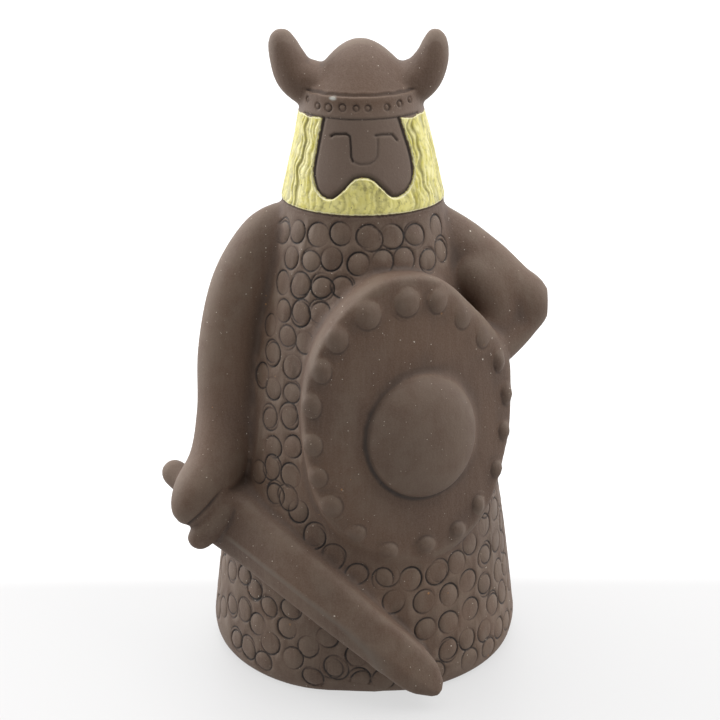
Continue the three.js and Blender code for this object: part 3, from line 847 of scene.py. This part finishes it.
def gap_places(chance):
    """Many random places all round the coat, to fill what the rows leave open."""
    turns = chance.uniform(-math.pi, math.pi, 6000)
    heights = chance.uniform(RING_LOWEST, RING_TOP + 1, 6000)
    return list(zip(turns, heights))


def proud_share(points, place):
    """How much of the skin under the tube belongs to an arm, the shield or the blade."""
    near = points[np.abs(points[:, 2] - place[2]) < RING_RADIUS + 1]
    near = near[np.sum((near - place) ** 2, axis=1) < (RING_RADIUS + 3) ** 2]
    return np.mean(off_coat(near) > 0.9) if len(near) else 1


def place_rings(points, chance):
    """The front rings first, then those that fit on the open coat beside them."""
    front = [(math.radians(degrees), height) for degrees, height in FRONT_RINGS]
    rings = []
    centres = np.empty((0, 3))
    for i, (angle, height) in enumerate(front + level_rows(chance) + gap_places(chance)):
        centre = coat_place(angle, height)
        if i >= len(front):
            if np.min(np.sum((centres - centre) ** 2, axis=1)) < RING_NEAREST ** 2:
                continue
            if proud_share(points, centre) > PROUD_MOST:
                continue
        centres = np.vstack((centres, centre))
        deep_side = chance.uniform(0, math.tau)
        press = chance.uniform(0.65, 1.1)
        rings.append((centre, angle, deep_side, press, chance.uniform(-0.25, 0.15)))
        if chance.uniform() < RING_TWICE:
            slip = chance.normal(0, 0.6)
            again = angle + slip / coat_radius(height)
            moved = coat_place(again, height + chance.choice((-0.9, 0.9)))
            rings.append((moved, again, deep_side + chance.uniform(1.5, 4), 0.8 * press, 0))
    return rings


def ring_depth(points, rings):
    """How deep the mail is pressed at each place, and how much of that is the cut line itself."""
    depth = np.zeros(len(points))
    line = np.zeros(len(points))
    order = np.argsort(points[:, 2])
    heights = points[order, 2]
    for centre, angle, deep_side, press, grow in rings:
        low, high = np.searchsorted(heights, (centre[2] - 5, centre[2] + 5))
        some = order[low:high]
        offset = points[some] - centre
        lean = math.atan(COAT_TAPER + 2 * COAT_CURVE * centre[2])
        right = np.array((math.cos(angle), math.sin(angle), 0))
        out = np.array((math.sin(angle) * math.cos(lean), -math.cos(angle) * math.cos(lean),
                        math.sin(lean)))
        up = np.cross(right, out) * -1
        a, b, h = offset @ right, offset @ up, offset @ out
        turn = np.arctan2(b, a)
        distance = np.hypot(a, b) + 0.12 * np.sin(2 * turn + press * 20)
        side = np.clip(0.68 + 0.55 * np.cos(turn - deep_side), 0.13, 1)
        near = np.abs(h) < 2.2
        cut = groove(distance - RING_RADIUS - grow, RING_LINE) * side * press * near
        inside = 0.07 * (1 - ramp(distance, RING_RADIUS - 0.9, RING_RADIUS)) * press * near
        line[some] = np.maximum(line[some], cut)
        depth[some] = np.maximum(depth[some], cut * RING_DEPTH + inside)
    open_coat = 1 - ramp(off_coat(points), 0.4, 1.1)
    return depth * open_coat, line * open_coat


# Hair and beard: thin wavy locks, cut with a comb from under the helmet down to the lower edge.
# The furrows waver and differ in depth, and there is a broader one every few locks.

LOCKS = 70
LOCK_DEPTH = 0.5
GLAZE_TOP = 175.7


def lock_depth(angle, arc, height):
    """How deep the comb has cut: narrow furrows between round locks, and broader ones here and there."""
    wave = 0.45 * np.sin(math.tau * height / 6.1 + 2.2 * ripple(3, angle * 6))
    wave += 0.7 * np.sin(math.tau * height / 14 + 1.7 * ripple(4, angle * 4))
    wave += 0.5 * ripple(6, arc * 0.9, height * 0.8)
    phase = (angle + wave / hair_radius(height)) * LOCKS
    uneven = np.clip(0.62 + 0.5 * ripple(5, angle * 16, height * 0.22), 0.1, 1.2)
    furrow = (0.5 + 0.5 * np.cos(phase)) ** 2
    broad = (0.5 + 0.5 * np.cos(phase / 2.6 + 1.1)) ** 3
    return (0.65 * furrow + 0.7 * broad) * uneven


# Face: a deep cut line goes round it like a mask, with brow and nose cut more lightly inside.
# The outline is (arc length, height) from under the helmet, round both cheeks and back up.

FACE_OUTLINE = [
    (-12.3, 176.4), (-15, 167), (-16.2, 159.5), (-14.2, 154.8), (-10.2, 153.4), (-6.3, 156),
    (-2.8, 159.3), (0, 159.9), (2.8, 159.3), (6.1, 156.6), (9.6, 153.9), (13.6, 154.8),
    (16.6, 158.4), (16.3, 164), (14.2, 170.5), (12.3, 176.4),
]
FACE_LINE_DEPTH = 1.25
BROW_AND_NOSE = [
    ([(-9.9, 171.2), (-8.6, 171.9), (-4.8, 172.2), (-3.7, 171.5), (-3.6, 165.7), (-3, 164.4)], 0.85),
    ([(-3, 164.4), (-0.9, 163.6), (2, 163.7), (3.7, 164.6)], 0.3),
    ([(3.7, 164.6), (4.4, 165.8), (4.7, 170.7)], 0.28),
    ([(4.1, 171.7), (6, 171.9), (9.4, 171.7), (11, 169.9)], 0.6),
]
BROW_LINE = 0.55
FACE_LINE = [tuple(smooth_line(FACE_OUTLINE, share)) for share in np.linspace(0, 1, 90)]


def outside_face(arc, height):
    """Signed distance from the face's cut line: positive on the hair, negative on the face."""
    inside = np.zeros(len(arc), bool)
    for (x0, z0), (x1, z1) in zip(FACE_LINE, FACE_LINE[1:] + FACE_LINE[:1]):
        crosses = (z0 > height) != (z1 > height)
        inside ^= crosses & (arc < (x1 - x0) * (height - z0) / (z1 - z0 or 1e-9) + x0)
    return line_distance(arc, height, FACE_LINE) * np.where(inside, -1, 1)


def face_depth(arc, height, outside):
    """The mask's line has a steep outer wall and a soft inner one, and the face lies a little low."""
    line = np.where(outside > 0, groove(outside, 0.6), groove(outside, 1.5) ** 1.4)
    depth = FACE_LINE_DEPTH * line
    low = 0.35 * ramp(-outside, 0, 1.6)
    for corners, deep in BROW_AND_NOSE:
        away = line_distance(arc, height, corners)
        depth = np.maximum(depth, deep * groove(away, BROW_LINE))
    return depth + low


# Helmet band: a ragged cut line above it, a neat one below, and small dots pressed by hand.

BAND_LINE = 0.6
BAND_DOTS = [
    (-60, 180.5, 0.8), (-44, 179.3, 0.85), (-31.4, 179.3, 1.1), (-17.2, 179.6, 1.05),
    (-4.2, 179.5, 0.85), (6.6, 179.5, 0.85), (25, 179.5, 0.9), (39.5, 180, 0.9),
    (54, 180.6, 0.8), *[(degrees, 180, 0.9) for degrees in (133, 150, 165, 180, 195, 210, 227)],
]


def band_depth(angle, height):
    """How deep the band's two lines and its dots are."""
    depth = 0.7 * groove(height - BAND_BOTTOM + 0.3, BAND_LINE)
    ragged = 0.07 * ripple(12, angle * 26)
    depth = np.maximum(depth, 0.75 * groove(height - BAND_TOP - ragged, BAND_LINE))
    radius = (BAND_RADIUS_BOTTOM + BAND_RADIUS_TOP) / 2
    for degrees, up, size in BAND_DOTS:
        turn = np.angle(np.exp(1j * (angle - math.radians(degrees))))
        away = np.hypot(turn * radius, height - up)
        deep_side = 0.75 + 0.25 * np.cos(np.arctan2(height - up, turn * radius) - degrees)
        depth = np.maximum(depth, 0.7 * groove(away - size, 0.45) * deep_side)
    return depth


def head_carving(points):
    """What was cut and pressed into the head, and how far each place is inside the glaze."""
    angle, arc, height = to_head(points)
    outside = outside_face(arc, height)
    outside = np.where(np.abs(angle) < 1.6, outside, 9)
    on_hair = ramp(outside, 0.4, 1.1) * ramp(height, HAIR_BOTTOM - 0.6, HAIR_BOTTOM + 0.2)
    on_hair *= 1 - ramp(height, 174.8, 176)
    locks = lock_depth(angle, arc, height)
    depth = LOCK_DEPTH * locks * (0.6 + 0.4 * ramp(height, 150, 156)) * on_hair
    face = face_depth(arc, height, outside) * (np.abs(angle) < 1.3) * (height < BAND_BOTTOM)
    depth = np.maximum(depth, face)
    on_head = (height > HAIR_BOTTOM - 0.6) & (np.hypot(points[:, 0], points[:, 1]) < 27)
    between_horns = 1 - ramp(np.abs(np.sin(angle)), 0.88, 0.92)
    band = band_depth(angle, height) * between_horns
    depth = np.where(height > HAIR_TOP, np.maximum(depth, band), depth)
    edge = 0.5 * groove(height - HAIR_BOTTOM + 0.5, 0.7)
    depth = np.maximum(depth, edge * (outside > 0))
    top = GLAZE_TOP + 0.3 * ripple(8, arc * 0.9)
    glaze = np.minimum(outside - 0.35, np.minimum(height - HAIR_BOTTOM - 0.1, top - height))
    glaze = np.where(on_head, glaze, -3)
    return depth * on_head, np.clip(glaze, -3, 3), locks * on_hair


# Shield creases: the boss and the studs were pressed on. The clay closes round their outer sides
# and leaves a crease on the sides that face the boss, or, round the boss, below and to the left.

def shield_creases(points):
    """How deep the creases are at each place, and how much of the place is on a pad."""
    across, up, out = to_shield(points)
    on_face = (out > -2.5) & (out < 9) & (np.hypot(across / 0.9, up) < SHIELD_RADIUS + 2)
    x, y = (across - BOSS_ACROSS) / BOSS_OVAL, up - BOSS_UP
    away = np.hypot(x, y) - BOSS_RADIUS
    lower_left = np.clip(0.45 + 0.6 * np.cos(np.arctan2(y, x) - math.radians(215)), 0.1, 1)
    crease = 0.55 * groove(away - 0.3, 1.3) * lower_left
    on_pad = 1 - ramp(away, -0.8, 0.2)
    for degrees, ring, wide, high in STUDS:
        middle_x, middle_y = stud_place(degrees, ring)
        x, y = across - middle_x, up - middle_y
        away = (np.hypot(x / wide, y / high) - 1) * (wide + high) / 2
        inward = np.arctan2(-middle_y - 14, -middle_x)
        faces_in = np.clip(0.3 + 0.75 * np.cos(np.arctan2(y, x) - inward), 0, 1)
        crease = np.maximum(crease, 0.3 * groove(away - 0.1, 0.7) * faces_in)
        on_pad = np.maximum(on_pad, 1 - ramp(away, -0.6, 0.1))
    return crease * on_face, on_pad * on_face


chance = np.random.default_rng(RING_SEED)
skin = vertex_array(figure.data)
skin_normals = vertex_array(figure.data, "normal")
rings = place_rings(skin[::PROBE_STEP], chance)
mail_depth, _ = ring_depth(skin, rings)
head_depth, _, _ = head_carving(skin)
crease_depth, _ = shield_creases(skin)
carved = mail_depth + head_depth + crease_depth + fist_depth(skin)
carved -= RIDGE_HEIGHT * ridge_share(skin)
uneven = UNEVEN_DEPTH * ripple(7, *(skin.T / UNEVEN_SPAN)) * ramp(skin[:, 2], 1, 8)
skin = skin + skin_normals * (uneven - carved)[:, None]
solid_box = np.array([list(corner) for corner in cad_box]) / MM
skin = np.clip(skin, np.append(solid_box[0][:2], 0), solid_box[1])
move_points(figure.data, skin)

# The head's front keeps most points, the coat's front keeps fewer, and the back the fewest.
MOST_TRIANGLES = 194000
FINE_SHARE = 0.002
BACK_FROM = -4
COAT_PLAIN = 0.6
plain = figure.vertex_groups.new(name="plain")
plain.add(np.flatnonzero(skin[:, 1] > BACK_FROM).tolist(), 1.0, "REPLACE")
coat_front = (skin[:, 1] <= BACK_FROM) & (skin[:, 2] < HAIR_BOTTOM)
plain.add(np.flatnonzero(coat_front).tolist(), COAT_PLAIN, "REPLACE")
figure.data.calc_loop_triangles()
kept = min(1, MOST_TRIANGLES / len(figure.data.loop_triangles))
with_modifier(figure, "DECIMATE", ratio=kept, vertex_group="plain", vertex_group_factor=FINE_SHARE)


# Finish: what the materials read from the skin is kept as one number for each of its points.

BAND_CHIP = (-27, 182, 1.7, 0.7)


def keep_attribute(name, values):
    attribute = figure.data.attributes.new(name, "FLOAT", "POINT")
    attribute.data.foreach_set("value", values.astype(np.float32))


def beard_share(points):
    _, arc, height = to_head(points)
    return (1 - ramp(np.abs(arc), 13, 19)) * (1 - ramp(height, 157, 162)) * (points[:, 1] < 0)


def chip_share(points):
    """A small pale drip on the band."""
    degrees, up, half_wide, half_high = BAND_CHIP
    angle, _, height = to_head(points)
    across = (angle - math.radians(degrees)) * BAND_RADIUS_BOTTOM
    return 1 - ramp(np.hypot(across / half_wide, (height - up) / half_high), 0.3, 1)


skin = vertex_array(figure.data)
ends = edge_array(figure.data)
# The bulge value gives the painted sheen on raised parts and the painted shade in hollows.
broad = softened(skin, ends, np.ones(len(skin)), 14)
bulge = np.sum((skin - broad) * vertex_array(figure.data, "normal"), axis=1)
head_depth, glaze, locks = head_carving(skin)
crease_depth, on_pad = shield_creases(skin)
_, ring_line = ring_depth(skin, rings)
# The cut value gives painted shade: the ring lines, the head's bare cuts, the shield's creases and the
# fist's cut.
cut = np.maximum(ring_line, 0.4 * head_depth * (glaze < 0))
cut = np.maximum(cut, np.maximum(crease_depth, 0.6 * fist_depth(skin)))
kept_values = {
    "glaze": glaze, "lock": locks, "beard": beard_share(skin), "cut": cut, "pad": on_pad,
    "bulge": np.clip(bulge, -1, 1), "ridge": ridge_share(skin), "chip": chip_share(skin)}
for name, values in kept_values.items():
    keep_attribute(name, values)

figure.data.transform(Matrix.Scale(MM, 4))
figure.data.shade_smooth()


# Clay: it fires nearly black-brown and is left bare. It is matt and a little powdery, greyer where
# it is rubbed and with a painted sheen on raised parts, with painted shade in its cuts and hollows and
# painted light on the face and the helmet's top, and it has dust and fine grit on it.
# Hair and beard have a thin yellow glaze, which is olive where it has run into the furrows.

# Heights in millimetres between which the head's painted light comes, goes and comes again.
FACE_PAINTED_LIGHT = (152, 158)
HELMET_LIGHT_FADES = (176, 181)
TOP_PAINTED_LIGHT = (190, 200)


class Paint:
    """The nodes that the colours are mixed from, all in one tree."""

    def __init__(self, tree):
        self.tree = tree
        self.place = add_node(tree, "ShaderNodeTexCoord").outputs["Object"]

    def read(self, name):
        """One of the numbers that are kept for each point of the skin."""
        return add_node(self.tree, "ShaderNodeAttribute", {"attribute_name": name}).outputs["Fac"]

    def noise(self, per_metre, detail=3.0, vector=None):
        return add_node(self.tree, "ShaderNodeTexNoise", inputs={
            "Vector": vector or self.place, "Scale": per_metre, "Detail": detail}).outputs["Fac"]

    def stretched(self, across, up):
        return add_node(self.tree, "ShaderNodeMapping", inputs={
            "Vector": self.place, "Scale": (across, across, up)}).outputs["Vector"]

    def ranged(self, value, low, high, to_low=0.0, to_high=1.0):
        return add_node(self.tree, "ShaderNodeMapRange", inputs={
            "Value": value, "From Min": low, "From Max": high,
            "To Min": to_low, "To Max": to_high}).outputs["Result"]

    def mixed(self, share, first, second):
        """From the first colour to the second one; the node's colour sockets go by number."""
        return add_node(self.tree, "ShaderNodeMix", {"data_type": "RGBA"},
                        {0: share, 6: first, 7: second}).outputs[2]

    def layered(self, colour, layers):
        """The colour under layers that are each (how much of it shows, its colour)."""
        for share, hex_colour in layers:
            colour = self.mixed(share, colour, linear(hex_colour))
        return colour

    def combined(self, first, second, operation="MULTIPLY"):
        return add_node(self.tree, "ShaderNodeMath", {"operation": operation},
                        {0: first, 1: second}).outputs[0]

    def specks(self, per_metre, rare, largest):
        """Small uneven spots: one in some cells of a random pattern, at most a size in metres."""
        cells = add_node(self.tree, "ShaderNodeTexVoronoi",
                         inputs={"Vector": self.place, "Scale": per_metre})
        pick = add_node(self.tree, "ShaderNodeSeparateColor", inputs={"Color": cells.outputs["Color"]})
        size = self.ranged(pick.outputs[0], rare, 1.0, 0.0, largest * per_metre)
        uneven = self.ranged(self.noise(4000), 0.3, 0.7, -0.03, 0.03)
        away = self.combined(cells.outputs["Distance"], uneven, "ADD")
        return self.combined(away, size, "LESS_THAN")


def head_painted_light(paint):
    """Painted light: the face and the top of the helmet are painted lighter, and its band hardly at all.
    """
    up = add_node(paint.tree, "ShaderNodeSeparateXYZ", inputs={"Vector": paint.place}).outputs["Z"]

    def between(heights, most):
        return paint.ranged(up, heights[0] * MM, heights[1] * MM, 0.0, most)

    face = paint.combined(between(FACE_PAINTED_LIGHT, 0.4), between(HELMET_LIGHT_FADES, 0.4), "SUBTRACT")
    return paint.combined(face, between(TOP_PAINTED_LIGHT, 0.2), "ADD")


def clay_colour(paint):
    """Clouded and streaked clay, greyer where rubbed and with a painted sheen on raised parts, with
    painted light on the face and helmet top and painted shade in hollows and cuts.
    """
    combined, ranged, noise, bulge = paint.combined, paint.ranged, paint.noise, paint.read("bulge")
    cloud = ranged(noise(28), 0.35, 0.65)
    streak = ranged(noise(1.0, 3.0, paint.stretched(900.0, 70.0)), 0.4, 0.7)
    grit = ranged(noise(2200, 1.0), 0.35, 0.7)
    # Greyer on raised parts: partly rubbed wear, partly a painted sheen.
    rubbed_and_sheen = combined(ranged(bulge, 0.02, 0.22), ranged(noise(160), 0.3, 0.6))
    ochre = combined(paint.specks(300.0, 0.75, 0.0004), ranged(noise(30), 0.52, 0.62))
    dust = ranged(noise(45), 0.35, 0.65, 0.2, 1.0)
    return paint.layered(paint.mixed(cloud, linear("#4b372a"), linear("#553f2f")), [
        (combined(streak, 0.16), "#6d5c4f"),
        (combined(grit, 0.22), "#705e51"),
        # Partly rubbed wear and partly a painted sheen on the raised parts.
        (combined(rubbed_and_sheen, 0.3), "#6f6254"),
        (combined(paint.read("pad"), 0.2), "#4d3f35"),
        # Painted light: the face and the top of the helmet are lighter.
        (head_painted_light(paint), "#75665b"),
        (combined(paint.read("ridge"), 0.5), "#655c53"),
        # Painted shade: darker in the hollows, where the skin dips below its softened self.
        (ranged(bulge, -0.02, -0.3, 0.0, 0.45), "#2c211b"),
        # Painted shade in the cuts and creases.
        (ranged(paint.read("cut"), 0.06, 0.6, 0.0, 0.9), "#17110e"),
        (combined(ochre, 0.5), "#a8743c"),
        (combined(paint.specks(330.0, 0.7, 0.00026), dust), "#c9c0b2"),
        (combined(paint.specks(640.0, 0.4, 0.0002), dust), "#a89d8f"),
        (combined(paint.read("chip"), 0.75), "#b9bbb4"),
    ])


def glaze_colour(paint, glaze_edge):
    """Streaky yellow glaze: olive in the furrows, dirty in patches, pale along its edge."""
    combined, ranged, noise, beard = paint.combined, paint.ranged, paint.noise, paint.read("beard")
    strands = ranged(noise(1.0, 3.0, paint.stretched(1100.0, 150.0)), 0.38, 0.62)
    patches = ranged(noise(330, 4.0), 0.42, 0.62)
    dirt = combined(ranged(noise(800, 4.0), 0.5, 0.68), ranged(beard, 0.0, 1.0, 0.42, 0.55))
    pale_rim = combined(ranged(glaze_edge, 0.08, 0.16), ranged(glaze_edge, 0.42, 0.2))
    return paint.layered(paint.mixed(strands, linear("#b8ad3c"), linear("#c6be70")), [
        (combined(patches, 0.35), "#dcd5a4"),
        (ranged(paint.read("lock"), 0.12, 0.7, 0.0, 0.75), "#80793b"),
        (combined(beard, 0.45), "#ded68c"),
        (dirt, "#5f5a30"),
        (combined(paint.specks(600.0, 0.7, 0.0003), 0.8), "#2c2417"),
        (combined(pale_rim, 0.6), "#e6e0c4"),
    ])


def make_clay():
    material, tree, output = new_material("dark_fired_clay")
    paint = Paint(tree)
    frayed = paint.ranged(paint.noise(900, 2.0), 0.3, 0.7, -0.1, 0.1)
    glaze_edge = paint.combined(paint.read("glaze"), frayed, "ADD")
    glazed = paint.ranged(glaze_edge, -0.06, 0.08)
    colour = paint.mixed(glazed, clay_colour(paint), glaze_colour(paint, glaze_edge))
    pores = add_node(tree, "ShaderNodeBump", inputs={
        "Strength": 0.3, "Distance": 0.0002, "Height": paint.noise(1500, 3.0)})
    surface = add_node(tree, "ShaderNodeBsdfPrincipled", inputs={
        "Base Color": colour, "Roughness": paint.ranged(glazed, 0.0, 1.0, 0.72, 0.42),
        "IOR": 1.5, "Specular IOR Level": 0.5, "Normal": pores.outputs["Normal"]})
    tree.links.new(surface.outputs["BSDF"], output.inputs["Surface"])
    return material


figure.data.materials.clear()
figure.data.materials.append(make_clay())
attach(figure, "root")
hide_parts("viking_figure")
